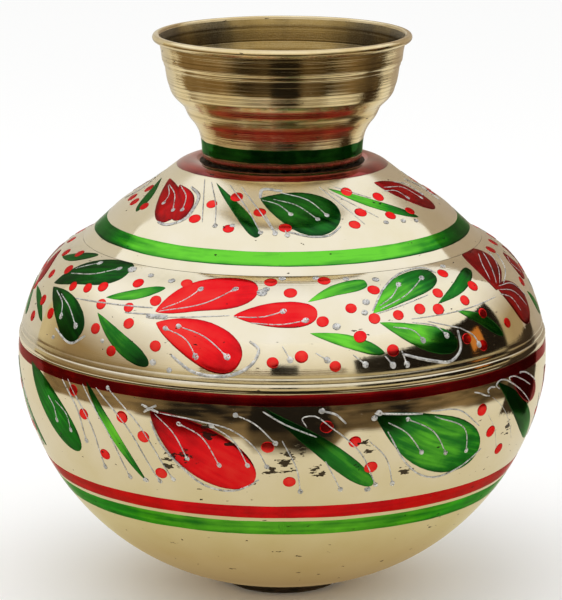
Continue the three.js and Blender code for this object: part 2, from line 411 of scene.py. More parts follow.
heights = np.linspace(LIP_TOP - BELOW_LIP, NECK_BASE + ABOVE_FOOT, NECK_ROWS)
lean = np.interp(-heights, *np.transpose(NECK_LEAN) * ((-1,), (1,)))
inward = np.cumsum(np.tan(np.radians(lean))) * (heights[0] - heights[1])
inward = inward / inward[-1] * (MOUTH_RADIUS - LIP_OVERHANG - NECK_FOOT_RADIUS - WAIST_FLARE)
neck_outside = np.column_stack((MOUTH_RADIUS - LIP_OVERHANG - inward, heights))
curl = np.radians(np.linspace(*LIP_CURL, 28))
lip = np.column_stack((np.cos(curl), np.sin(curl))) * LIP_BEAD_RADIUS
lip = lip + (MOUTH_RADIUS - LIP_BEAD_RADIUS, LIP_TOP - LIP_BEAD_RADIUS)
neck_bore = NECK_FOOT_RADIUS - NECK_WALL
bore_top = NECK_BASE + LAP + FILLET + 2 * GAP
neck_foot = [
    *(np.array(NECK_FOOT) + (NECK_FOOT_RADIUS, NECK_BASE)),
    (neck_bore, NECK_BASE + NECK_EDGE),
    (neck_bore, bore_top),
]
neck_inside = inwards(neck_outside, NECK_WALL)[::3]
neck_inside = neck_inside[neck_inside[:, 1] > bore_top + NECK_WALL]
neck = turned("turned_neck", join(lip, neck_outside, neck_foot, neck_inside[::-1]), cast_brass)
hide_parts("neck")
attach(neck, "root")

# Shoulder. Spun from brass sheet: an upturned collar inside the neck, a rounded crest close round
# it, a faint hollow, and a second swelling down to the crease, where its edge laps over the shell.
# Its finish is shared by all the spun shells, so it knows the height of the seam below them.
SHEET = 1.2
CREASE = 161.7
CREASE_RADIUS = 90
HOLLOW = (63.3, 183.3)
HOLLOW_SLOPE = -32
CREASE_STEP = 0.06
CREASE_GAP = 0.15
SEAM = 117.7
DULL_HEIGHT = 188

spun_brass = brass(
    "spun brass",
    pale=(0.89, 0.82, 0.66),
    deep=(0.84, 0.76, 0.55),
    roughness=0.06,
    tool_lines=0.004,
    hand_waves=0.12,
    tarnish=0.0,
    # Black round the neck's foot and at the very bottom, fainter above the seam and below the crease:
    # partly soiling, partly painted shade where the shoulder meets the neck and where the pot meets the
    # table.
    grime_and_shade=((NECK_BASE, 2.2, 0.95), (SEAM + 4.5, 5, 0.25), (CREASE - 3, 4, 0.12), (1, 4, 1.0)),
    scored=((CREASE - 2, 4, 0.04), (SEAM + 6, 4, 0.04)),
    dull=((DULL_HEIGHT, 14, 0.2),),
)

ledge = (NECK_FOOT_RADIUS + 2, NECK_BASE - GAP)
crest = flow(ledge, HOLLOW, leave=20, arrive=HOLLOW_SLOPE, pulls=(0.33, 0.58), count=60)
edge = (CREASE_RADIUS, CREASE)
swelling = flow(HOLLOW, edge, leave=HOLLOW_SLOPE, arrive=-40, pulls=(0.6, 0.64), count=50)
shoulder_run = join(crest, swelling)
collar_radius = neck_bore - GAP
collar = [
    (collar_radius, NECK_BASE + LAP),
    (collar_radius, NECK_BASE + NECK_EDGE + GAP),
    (collar_radius + NECK_EDGE, NECK_BASE - GAP),
]
shoulder_outside = join(collar, shoulder_run)
shoulder_inside = inwards(shoulder_outside, SHEET)
shoulder = turned("spun_shoulder", join(shoulder_outside, shoulder_inside[::-1]), spun_brass)
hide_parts("shoulder")
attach(shoulder, "root")

# Upper shell. Spun sheet from the crease down to the seam, with two turned grooves and a
# half-round edge that laps over the bowl's rim.
SEAM_RADIUS = 119.6
TUCK = SHEET + GAP
BEAD_HEIGHT = 3.4
BEAD_RELIEF = 0.28
GROOVE_DEPTH = 0.12
GROOVE_SPACING = 2.6
GROOVE_MARGIN = 1.2
# The grooves: how far from the middle, and what share of the depth.
SECOND_GROOVE = ((0.5, 0), (0.2, 0.5), (0, 0.6), (-0.2, 0.5), (-0.5, 0))
FIRST_GROOVE = ((0.6, 0), (0.2, 0.8), (0, 1))

upper_top = place_on(shoulder_run, -CREASE_GAP, CREASE_STEP)
seam = (SEAM_RADIUS, SEAM)
upper_run = flow(upper_top, seam, leave=-22, arrive=-78, pulls=(0.35, 0.42), count=110)
rim = [place_on(shoulder_run, back, TUCK) for back in (LAP, LAP / 2, -GAP)]
second_groove = BEAD_HEIGHT + GROOVE_SPACING
profile = [(second_groove + away, GROOVE_DEPTH * deep) for away, deep in SECOND_GROOVE]
profile += [(BEAD_HEIGHT + away, GROOVE_DEPTH * deep) for away, deep in FIRST_GROOVE]
down_bead = np.linspace(0.06, 0.94, 9)
profile += [(BEAD_HEIGHT * (1 - t), -BEAD_RELIEF * math.sin(math.pi * t) ** 0.6) for t in down_bead]
shell_length = lengths_of(upper_run)
plain_wall = upper_run[shell_length < shell_length[-1] - second_groove - GROOVE_MARGIN]
seam_edge = [place_on(upper_run, back, depth) for back, depth in profile]
upper_outside = join(rim, plain_wall, seam_edge, upper_run[-1:])
# The inner wall leaves out the points at its ends, which would cross the rim's.
inner_rim, inner_wall = inwards(np.array(rim[:2]), SHEET), inwards(upper_run, SHEET)[4:-4]
upper_inside = join(inner_rim, inner_wall, [place_on(upper_run, SHEET, SHEET)])
upper_shell = turned("spun_upper_shell", join(upper_outside, upper_inside[::-1]), spun_brass)
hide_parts("upper_shell")
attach(upper_shell, "root")

# Bowl. Spun sheet: a rim tucked under the upper shell, the widest point just below the seam, and
# a round bottom.
BELLY_RADIUS = 120
BELLY_HEIGHT = 108
BOWL_CLEARANCE = 1.6
BOWL_STEP = 0.15

bowl_edge = (SEAM_RADIUS - BOWL_STEP, SEAM - BOWL_STEP - GAP)
widest = (BELLY_RADIUS, BELLY_HEIGHT)
belly = flow(bowl_edge, widest, leave=-84, arrive=-90, pulls=(0.3, 0.3), count=16)
lowest = (0, BOWL_CLEARANCE)
bottom = flow(widest, lowest, leave=-90, arrive=-180, pulls=(0.24, 0.53), count=150)
bowl_run = join(belly, bottom)
bowl_rim = [place_on(upper_run, back, TUCK) for back in (LAP, LAP / 2, SHEET)]
bowl_inside = join(inwards(np.array(bowl_rim[:2]), SHEET), inwards(bowl_run, SHEET)[2:])
bowl = turned("spun_bowl", join(bowl_rim, bowl_run, bowl_inside[::-1]), spun_brass)
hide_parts("bowl")
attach(bowl, "root")

# Foot ring and the brazing round it. A turned brass ring, with brazing metal run in between it
# and the bowl; both are painted near-black, as painted shade where the pot meets the table.
FOOT_RADIUS = 26
FOOT_WIDTH = 6
FOOT_CHAMFER = 0.8
FOOT_TURNS = 192
BEAD_HOLLOW = (0.6, 0.7)


def under_bowl(radius):
    """A point just under the bowl."""
    return radius, float(np.interp(-radius, -bottom[:, 0], bottom[:, 1])) - GAP


def shade_painted(name):
    """Brass painted near-black as painted shade, scaly, with duller and browner patches."""
    material, tree, place = new_finish(name)
    patches = tree.noise(place, 0.12, 5.0)
    browner = tree.ramp(patches, (0.4, 0.0), (0.65, 1.0))
    colour = tree.mix(browner, (0.012, 0.01, 0.009), (0.045, 0.03, 0.02))
    values = {"Base Color": colour, "Roughness": 0.4 + patches * 0.3, "Metallic": 0.7}
    scale = patches * 0.2 + tree.noise(place, 1.2, 3.0) * 0.06
    tree.surface({**values, "Normal": tree.bump(scale)})
    return material


shade_painted_brass = shade_painted("brass painted with shade")
under = [under_bowl(r) for r in np.linspace(FOOT_RADIUS - FOOT_WIDTH, FOOT_RADIUS, 8)]
foot_section = [
    *under,
    (FOOT_RADIUS, FOOT_CHAMFER),
    (FOOT_RADIUS - FOOT_CHAMFER, 0),
    (FOOT_RADIUS - FOOT_WIDTH, 0),
]
foot = turned("turned_foot_ring", foot_section, shade_painted_brass, FOOT_TURNS)
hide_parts("foot_ring")
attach(foot, "root")

root_radius = FOOT_RADIUS + GAP
bead_run = [under_bowl(root_radius + FILLET * share) for share in (0, 0.5, 1)]
bead_top = bead_run[0][1]
out, down = BEAD_HOLLOW
bead_run += [(root_radius + out, bead_top - down), (root_radius, bead_top - FILLET)]
foot_bead = turned("foot_brazing_bead", bead_run, shade_painted_brass, FOOT_TURNS)
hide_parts("foot_brazing")
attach(foot_bead, "root")

# Brazing inside the pot. Rings of brazing metal in the corners over the tucked rims, dull and
# grainy, as they ran.


def run_brass(name):
    """Brazing metal as it ran: dull, grainy, with flux stains."""
    material, tree, place = new_finish(name)
    grain = tree.noise(place, 0.8, 4.0)
    colour = tree.mix(tree.ramp(grain, (0.35, 0.0), (0.7, 1.0)), (0.38, 0.26, 0.1), (0.16, 0.12, 0.07))
    values = {"Base Color": colour, "Roughness": 0.35 + grain * 0.3, "Metallic": 1.0}
    tree.surface({**values, "Normal": tree.bump(grain * 0.3)})
    return material


brazing = run_brass("brazing metal")
for node in ("neck_brazing", "shoulder_brazing", "belly_brazing"):
    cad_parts[node].data.materials.clear()
    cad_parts[node].data.materials.append(brazing)

# Painted bands. Rings of translucent red and green enamel, drawn with a loaded brush while the
# pot turned, so that their edges waver a little. The paint's underside is sunk into the metal.
BAND_THICKNESS = 0.12
SUNK = -0.05 * MM


def enamel(name, thin, even, thick, glancing, streaky):
    """Translucent lacquer over polished brass: a coloured mirror, paler where the brush left little."""
    material, tree, place = new_finish(name)
    stroke = tree.node("ShaderNodeAttribute", attribute_name="stroke")["Vector"]
    load = tree.node("ShaderNodeAttribute", attribute_name="load")["Fac"]
    streaks = tree.noise(stroke * (0.05, 0.45, 1.0), 1.0, 2.0)
    pool = tree.noise(place, 0.1, 3.0)
    waves = tree.noise(place, 0.018, 1.0) - 0.5
    depth = load + (streaks - 0.5) * streaky + (pool - 0.5) * 0.5
    colour = tree.ramp(depth, (0.0, thin), (0.5, even), (1.0, thick))
    flecks = flecks_of(tree, place)
    colour = tree.mix(flecks * 0.95, colour, (0.02, 0.015, 0.012))
    values = {
        "Base Color": colour,
        "Roughness": 0.1 + pool * 0.06 + flecks * 0.3,
        "Metallic": 0.95,
        "Specular Tint": glancing,
        "Coat Weight": 0.15,
        "Coat Roughness": 0.05,
        "Normal": tree.bump(waves * 0.12 + streaks * 0.01 + pool * 0.015),
    }
    tree.surface(values)
    return material


RED = ((0.92, 0.07, 0.05), (0.84, 0.008, 0.014), (0.2, 0.003, 0.007), (0.6, 0.05, 0.08))
WORN_RED = ((0.7, 0.22, 0.14), (0.5, 0.05, 0.035), (0.14, 0.009, 0.01), (1, 1, 1))
GREEN = ((0.15, 0.66, 0.04), (0.018, 0.2, 0.02), (0.003, 0.045, 0.008), (0.1, 0.45, 0.12))
red_enamel = enamel("red enamel", *RED, streaky=0.4)
worn_red = enamel("worn red enamel", *WORN_RED, streaky=0.6)
green_enamel = enamel("green enamel", *GREEN, streaky=0.9)


def surface_curve(run):
    """An outline as a curve object, so that a rule can measure down it."""
    curve = bpy.data.curves.new("outline", "CURVE")
    curve.dimensions = "3D"
    spline = curve.splines.new("POLY")
    spline.points.add(len(run) - 1)
    for point, (r, z) in zip(spline.points, np.array(run) * MM):
        point.co = (r, 0, z, 1)
    made = bpy.data.objects.new("outline", curve)
    bpy.context.collection.objects.link(made)
    return made


def on_outline(tree, outline, down, above):
    """Radius and height of a place, from its distance down an outline and its height above it."""
    curve = tree.node("GeometryNodeObjectInfo", {"Object": outline}, transform_space="ORIGINAL")
    values = {"Curves": curve["Geometry"], "Length": down}
    spot = tree.node("GeometryNodeSampleCurve", values, mode="LENGTH")
    at, along = tree.split(spot["Position"]), tree.split(spot["Tangent"])
    return at["X"] - along["Z"] * above, at["Z"] + along["X"] * above, at["X"]


def keep(tree, shape, name, value, kind="FLOAT_VECTOR"):
    """Stores a value on each point of a shape."""
    values = {"Geometry": shape, "Name": name, "Value": value}
    return tree.node("GeometryNodeStoreNamedAttribute", values, data_type=kind, domain="POINT")


def band_rule():
    """A painted ring: a thin closed body on the pot, between two distances down an outline."""
    tree, (_, outline, top, low_end, thick, waver, lean, seed, load, behind, low, finish) = new_rule(
        "painted band",
        ("Outline", "Object"),
        ("From", "Float", 0.0),
        ("To", "Float", 0.01),
        ("Thickness", "Float", 0.0001),
        ("Waver", "Float", 0.0005),
        ("Lean", "Float", 0.0),
        ("Seed", "Float", 0.0),
        ("Load", "Float", 0.5),
        ("Behind", "Float", 0.1),
        ("Low Edge", "Float", 0.2),
    )
    sizes = {"Size X": 1.0, "Size Y": 1.0, "Vertices X": 361, "Vertices Y": 49}
    sheet = tree.node("GeometryNodeMeshGrid", sizes)
    flat = tree.split(tree.node("GeometryNodeInputPosition"))
    angle, turn = (flat["X"] + 0.5) * (2 * math.pi), (flat["Y"] + 0.5) * (2 * math.pi)
    edge, lift = tree.call("COSINE", turn), tree.call("SINE", turn)
    circle = tree.vector(tree.call("SINE", angle), tree.call("COSINE", angle), seed + edge * 0.35)
    wander = tree.noise(circle, 3.0, 3.0) - 0.5
    down = top + (low_end - top) * (edge * 0.5 + 0.5) + wander * waver * edge * edge
    down = down + lean * tree.call("COSINE", angle)
    above = tree.call("MAXIMUM", lift, 0.0) ** 0.3 * thick + (lift < 0) * SUNK
    radius, height, _ = on_outline(tree, outline, down, above)
    sheet = keep(tree, sheet, "stroke", tree.vector(angle * 60.0, edge * 3.0, seed))
    rim = tree.call("MAXIMUM", edge, 0.0) ** 5.0 * tree.noise(circle, 2.0, 3.0)
    # More paint along the low edge, and painted shade that darkens the band with its angle from the
    # front.
    heavier_and_shaded = (1.0 - tree.call("COSINE", angle)) * behind + rim * low
    sheet = keep(tree, sheet, "load", load + heavier_and_shaded, "FLOAT")
    ring = wrapped(tree, sheet, round_axis(tree, angle, radius, height), 0.002)
    return end_rule(tree, ring, finish)


band = band_rule()


def painted(name, start, rule, run, finish, settings):
    """What a rule paints on an outline, as one piece."""
    outline = surface_curve(run)
    piece = apply_rule(name, start, rule, {"Outline": outline, "Finish": finish, **settings})
    bpy.data.objects.remove(outline)
    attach(piece, "root")


def painted_band(
    name, run, start, end, finish, seed, load, waver=1.0, lean=0.0, behind=0.1, low_edge=0.2
):
    """A band between two distances down a run, a little lower at the front where it leans. behind
    darkens the band away from its front as painted shade, or towards its front when it is negative;
    low_edge says how much more paint lies along its low edge."""
    settings = {
        "From": start * MM,
        "To": end * MM,
        "Thickness": BAND_THICKNESS * MM,
        "Waver": waver * MM,
        "Lean": lean * MM,
        "Seed": float(seed),
        "Load": float(load),
        "Behind": float(behind),
        "Low Edge": float(low_edge),
    }
    painted(name, bpy.data.meshes.new(name), band, run, finish, settings)


throat_run = join(neck_outside, neck_foot[:3])
painted_band("neck_band", throat_run, 48.2, 54.3, green_enamel, 1, 0.75, waver=1.6)
# The shoulder ring is darker at its front, and the shoulder band at its sides and back: painted shade.
painted_band(
    "shoulder_ring", shoulder_run, 0.1, 11.3, worn_red, 2, 0.82, behind=-0.15, low_edge=0.4
)
painted_band(
    "shoulder_band", shoulder_run, 50.4, 58.2, green_enamel, 3, -0.05,
    lean=1.8, behind=0.9, low_edge=1.6,
)  # fmt: skip
painted_band("seam_band", bowl_run, 0.4, 5.3, red_enamel, 4, 0.95)
painted_band("lower_red_band", bowl_run, 54.1, 61.1, red_enamel, 5, 0.62)
painted_band(
    "lower_green_band", bowl_run, 63.2, 71.8, green_enamel, 6, 0.22, waver=1.4
)

# Shoulder frieze. Leaves, buds and berries of the same enamels between the neck and the green
# band, then veins, stems and outlines squeezed on as raised silver glitter liner. Places are
# (degrees round the pot, millimetres down the shell from its top edge).


def liner_finish(name):
    """Silver glitter liner: pale grey paint full of small flakes that each catch the light."""
    material, tree, place = new_finish(name)
    flakes = tree.node("ShaderNodeTexVoronoi", {"Vector": place, "Scale": 2.6}, feature="F1")
    turn = flakes["Color"] - (0.5, 0.5, 0.5)
    tipped = tree.node("ShaderNodeNewGeometry")["Normal"] + turn * 0.5
    normal = tree.node("ShaderNodeVectorMath", {0: tipped}, operation="NORMALIZE")
    tone = tree.noise(place, 0.35, 2.0)
    colour = tree.mix(tree.ramp(tone, (0.35, 0.0), (0.65, 1.0)), (0.78, 0.78, 0.76), (0.42, 0.42, 0.42))
    gaps = tree.noise(place, 1.5, 2.0) > 0.4
    values = {"Base Color": colour, "Roughness": 0.32 + tone * 0.1, "Metallic": 0.6, "Alpha": gaps}
    tree.surface({**values, "Normal": normal})
    return material


silver_liner = liner_finish("silver liner")


def stroke_rule():
    """Sweeps brush marks along their centre lines and lays them on the pot as thin closed bodies."""
    tree, (lines, outline, thick, flatness, waver, across, finish) = new_rule(
        "brush marks",
        ("Outline", "Object"),
        ("Thickness", "Float", 0.0001),
        ("Flatness", "Float", 0.4),
        ("Waver", "Float", 0.0),
        ("Points Across", "Int", 16),
    )

    def kept(name, kind="FLOAT_VECTOR"):
        read = tree.node("GeometryNodeInputNamedAttribute", {"Name": name}, data_type=kind)
        return read["Attribute"]

    place = tree.node("GeometryNodeInputPosition")
    lines = tree.node("GeometryNodeMeshToCurve", {0: lines})
    lines = keep(tree, lines, "centre", place)
    upright = {0: tree.node("GeometryNodeInputTangent"), 1: (0.0, 0.0, 1.0)}
    square = tree.node("ShaderNodeVectorMath", upright, operation="CROSS_PRODUCT")
    lines = keep(tree, lines, "square", square)
    circle = {"Resolution": across, "Radius": 1.0}
    tool = tree.node("GeometryNodeCurvePrimitiveCircle", circle, mode="RADIUS")
    tool = keep(tree, tool, "rim", place)
    swept = {"Curve": lines, "Profile Curve": tool, "Fill Caps": True}
    marks = tree.node("GeometryNodeCurveToMesh", swept)
    rim = tree.split(kept("rim"))
    side = tree.call("ABSOLUTE", rim["X"]) ** flatness * tree.call("SIGN", rim["X"])
    half = kept("half", "FLOAT")
    rough = tree.noise(kept("centre") + kept("square") * (side * 0.004), 420.0, 2.0) - 0.5
    width = half + rough * waver * tree.call("MINIMUM", half * 400.0, 1.0)
    flat = tree.split(kept("centre") + kept("square") * (side * width))
    raised = tree.call("MAXIMUM", rim["Y"], 0.0) ** flatness
    above = raised * thick * tree.call("MINIMUM", half * 2500.0, 1.0) + (rim["Y"] < 0) * SUNK
    radius, height, surface = on_outline(tree, outline, flat["Y"], above)
    angle = kept("anchor", "FLOAT") + flat["X"] / surface
    stroke = tree.split(kept("stroke"))
    marks = keep(tree, marks, "stroke", tree.vector(stroke["X"], side * half * 1000.0, stroke["Z"]))
    # Paint pools towards the edges of each mark, and the darker edges are also painted shade that rounds
    # the mark.
    pooled_and_shaded = kept("load", "FLOAT") + tree.call("ABSOLUTE", side) ** 8.0 * 0.35
    marks = keep(tree, marks, "load", pooled_and_shaded, "FLOAT")
    moved = {"Geometry": marks, "Position": round_axis(tree, angle, radius, height)}
    return end_rule(tree, tree.node("GeometryNodeSetPosition", moved), finish)


brush_marks = stroke_rule()
BACK = 180
hand = np.random.default_rng(7)


def through(places, count):
    """A smooth line through flat points, closer set towards its ends."""
    share = (1 - np.cos(np.linspace(0, math.pi, count))) / 2
    step = lengths_of(places)
    if len(places) < 3:
        return places[0] + share[:, None] * (places[1] - places[0])
    lean = np.gradient(places, step, axis=0)
    at = share * step[-1]
    i = np.clip(np.searchsorted(step, at, side="right") - 1, 0, len(places) - 2)
    gap = (step[i + 1] - step[i])[:, None]
    t = ((at - step[i]) / gap[:, 0])[:, None]
    return (
        (2 * t**3 - 3 * t**2 + 1) * places[i]
        + (t**3 - 2 * t**2 + t) * gap * lean[i]
        + (3 * t**2 - 2 * t**3) * places[i + 1]
        + (t**3 - t**2) * gap * lean[i + 1]
    )


class Marks:
    """Brush marks in one paint on one shell: flat centre lines, which a rule lays on the pot."""

    def __init__(self, run):
        self.run = run
        self.length = lengths_of(run)
        self.points, self.edges = [], []
        self.half, self.anchor, self.stroke, self.load = [], [], [], []

    def mark(self, places, width, base, tip, bow=0.0, load=(0.4, 0.4, 0.7), drops=(), count=24):
        """A mark through places, and its repeat behind the pot. base and tip say how blunt its ends
        are: 0.5 is round, 1 a point. load is how much paint lies at its base, middle and tip."""
        for turn in (0, BACK):
            spots = np.array(places, float)
            wide, bent = width, bow
            if turn:
                spots = spots + (turn + hand.normal(0, 0.8), hand.normal(0, 0.5))
                wide, bent = width * hand.uniform(0.93, 1.07), bow + hand.normal(0, 0.4)
            anchor = (spots[0, 0] + spots[-1, 0]) / 2
            radius = np.interp(spots[:, 1], self.length, self.run[:, 0])
            flat = np.column_stack((np.radians(spots[:, 0] - anchor) * radius, spots[:, 1]))
            if len(flat) == 2 and bent:
                along = (flat[1] - flat[0]) / np.linalg.norm(flat[1] - flat[0])
                middle = flat.mean(axis=0) + np.array((-along[1], along[0])) * bent
                flat = np.insert(flat, 1, middle, axis=0)
            self.add(through(flat, count), anchor, wide, base, tip, load, drops)

    def add(self, line, anchor, width, base, tip, load, drops):
        run = lengths_of(line)
        t = np.clip(run / run[-1], 0, 1)
        widest = base / (base + tip)
        half = width / 2 * t**base * (1 - t) ** tip / (widest**base * (1 - widest) ** tip)
        for at_start, size in drops:
            from_end = run if at_start else run[-1] - run
            round_end = np.maximum(1 - (from_end / (size / 2) - 1) ** 2, 0) ** 0.5 * size / 2
            half = np.maximum(half, round_end)
        first = len(self.points)
        seed = float(hand.uniform(0, 50))
        self.points += [(x * MM, y * MM, 0) for x, y in line]
        self.edges += [(first + i, first + i + 1) for i in range(len(line) - 1)]
        self.half += list(np.maximum(half, 0.05) * MM)
        self.anchor += [math.radians(anchor)] * len(line)
        self.stroke += [(d, 0, seed) for d in run]
        self.load += list(np.interp(t, (0, 0.5, 1), load))

    def dot(self, degrees, down, size):
        """A round dab of the brush."""
        radius = float(np.interp(down, self.length, self.run[:, 0]))
        wide = size * hand.uniform(0.92, 1.08)
        reach = math.degrees(wide * 0.5 / radius)
        tilt = hand.uniform(-0.3, 0.3) * wide
        ends = [(degrees - reach, down - tilt * 0.5), (degrees + reach, down + tilt * 0.5)]
        # Thinner, paler paint in the middle of the dab and heavier paint at its ends: partly pooled
        # paint, partly a painted highlight on the dome.
        self.mark(ends, wide * 0.94, 0.5, 0.5, load=(0.45, 0.25, 0.45), count=12)

    def line(self, places, drop=0.0, start_drop=0.0, width=0.65):
        """A liner stroke through places, with a round drop where the painter stops."""
        drops = [(at_start, size) for at_start, size in ((False, drop), (True, start_drop)) if size]
        self.mark(places, width, 0.12, 0.12, drops=drops, count=30)

    def lay(self, name, slot, finish, thick, flatness, waver, across):
        """Builds the marks on the pot as one piece."""
        lines = bpy.data.meshes.new(name)
        lines.from_pydata(self.points, self.edges, [])
        for label, kind, values in (
            ("half", "FLOAT", self.half),
            ("anchor", "FLOAT", self.anchor),
            ("load", "FLOAT", self.load),
            ("stroke", "FLOAT_VECTOR", np.ravel(self.stroke)),
        ):
            field = "vector" if kind == "FLOAT_VECTOR" else "value"
            made = lines.attributes.new(label, kind, "POINT")
            made.data.foreach_set(field, np.array(values, np.float32))
        settings = {
            "Thickness": thick * MM,
            "Flatness": flatness,
            "Waver": waver * MM,
            "Points Across": across,
        }
        painted(name, lines, brush_marks, self.run, finish, settings)


def frieze(
    name, run, leaves, petals, berries, veins, strokes, drops, petal_tip=0.45, berry=5.4,
    vein_drops=(2.5, 0), dotted_veins=(), dotted_vein_drops=(2.5, 2.4),
):  # fmt: skip
    """One frieze in its three paints: leaves, then petals and berries, then the liner over them.

    A leaf is a start, an end, a width, a bow, how blunt it is at both ends, and its load of paint;
    a petal is the same without the blunt ends. Veins end in a drop, dotted veins start in one too,
    and strokes have a width of their own. Berries and drops are dabs of the brush.
    """
    green, red, silver = Marks(run), Marks(run), Marks(run)
    for start, end, width, bow, base, tip, load in leaves:
        green.mark((start, end), width, base, tip, bow, load)
    for start, end, width, bow, load in petals:
        red.mark((start, end), width, 0.8, petal_tip, bow, load)
    for degrees, down in berries:
        red.dot(degrees, down, berry)
    for places in veins:
        silver.line(places, *vein_drops)
    for places in dotted_veins:
        silver.line(places, *dotted_vein_drops)
    for places, width in strokes:
        silver.line(places, width=width)
    for degrees, down, size in drops:
        silver.dot(degrees, down, size)
    green.lay(name + "_leaves", "green_enamel", green_enamel, 0.12, 0.35, 0.5, 24)
    red.lay(name + "_petals_and_berries", "red_enamel", red_enamel, 0.18, 0.4, 0.4, 16)
    silver.lay(name + "_liner", "silver_liner", silver_liner, 0.32, 0.8, 0.5, 8)


frieze(
    "shoulder",
    shoulder_run,
    leaves=(
        ((-82, 20), (-65, 40), 6, -1, 0.9, 0.6, (0.9, 0.6, 0.8)),
        ((-35.5, 14), (-8, 44.5), 5.5, -1, 0.9, 0.35, (0.9, 0.5, 0.9)),
        ((-10, 21), (20, 39), 24.5, -1.5, 0.9, 0.5, (0.8, 0.6, 0.9)),
        ((22.5, 16), (56.5, 41), 6, 0.5, 0.9, 0.7, (0.3, 0.2, 0.9)),
    ),
    petals=(
        ((-71.5, 18), (-44.5, 40.5), 13, -1.5, (0.9, 0.75, 0.9)),
        ((-57.5, 19), (-40.5, 39), 10, -3, (0.9, 0.75, 0.9)),
        ((51.5, 16.5), (75, 39), 15, -1.5, (0.9, 0.75, 0.9)),
    ),
    berries=(
        (-83.5, 36), (-80, 27.5), (-75.5, 36.5), (-64.5, 36), (-34, 36.5), (-31, 26.5), (-21, 21),
        (-19, 40.5), (-9, 29.5), (1, 39), (26.5, 39), (31.5, 19), (32, 32), (44, 36.5), (46.5, 24.5),
        (55.5, 36.5),
    ),
    veins=(
        ((-66, 21), (-57.5, 26), (-55, 32)), ((-66, 20.5), (-55.5, 24), (-46, 34.5)),
        ((-56.5, 19), (-46.5, 24.5), (-42, 33.5)), ((-38.5, 14), (-29, 26.5), (-24, 40.5)),
        ((-27, 14.5), (-16, 25.5), (-7, 43)), ((-20.5, 15), (-10, 27.5), (-2, 43.5)),
        ((-9, 22), (-2, 24.5), (4, 31.5)), ((-4, 21.5), (5, 24.5), (14, 35)),
        ((-1, 17.5), (11, 22), (18, 33)), ((-7, 30.5), (-2, 43)), ((1, 40.5), (2, 44.5)),
        ((66.5, 19), (78, 25), (78, 32.5)), ((54.5, 20), (70.5, 25), (73, 33.5)),
        ((53, 22), (61.5, 24.5), (63.5, 30.5)),
    ),
    strokes=(
        (((-48.5, 18.5), (-40, 23), (-38, 30), (-38, 37.5), (-43.5, 42.5), (-48.5, 42)), 1.8),
        (((-10, 21), (-10, 16.5), (0, 16.5)), 1.6),
        (((2, 41.5), (10, 44.5), (16, 44), (21, 39.5)), 1.2), (((-44, 13), (-30, 38)), 0.6),
        (((18.5, 15), (26, 26.5), (30.5, 39.5)), 0.5), (((23, 18), (31, 26.5), (38, 36.5)), 0.5),
        (((26.5, 15.5), (42, 24.5)), 0.5), (((82, 21), (91, 31), (88, 40)), 1.0),
    ),
    drops=(
        (-18, 38.5, 2.6), (39.5, 40, 2.6), (47.5, 41, 2.6), (53.5, 42.5, 2.6),
    ),
)  # fmt: skip

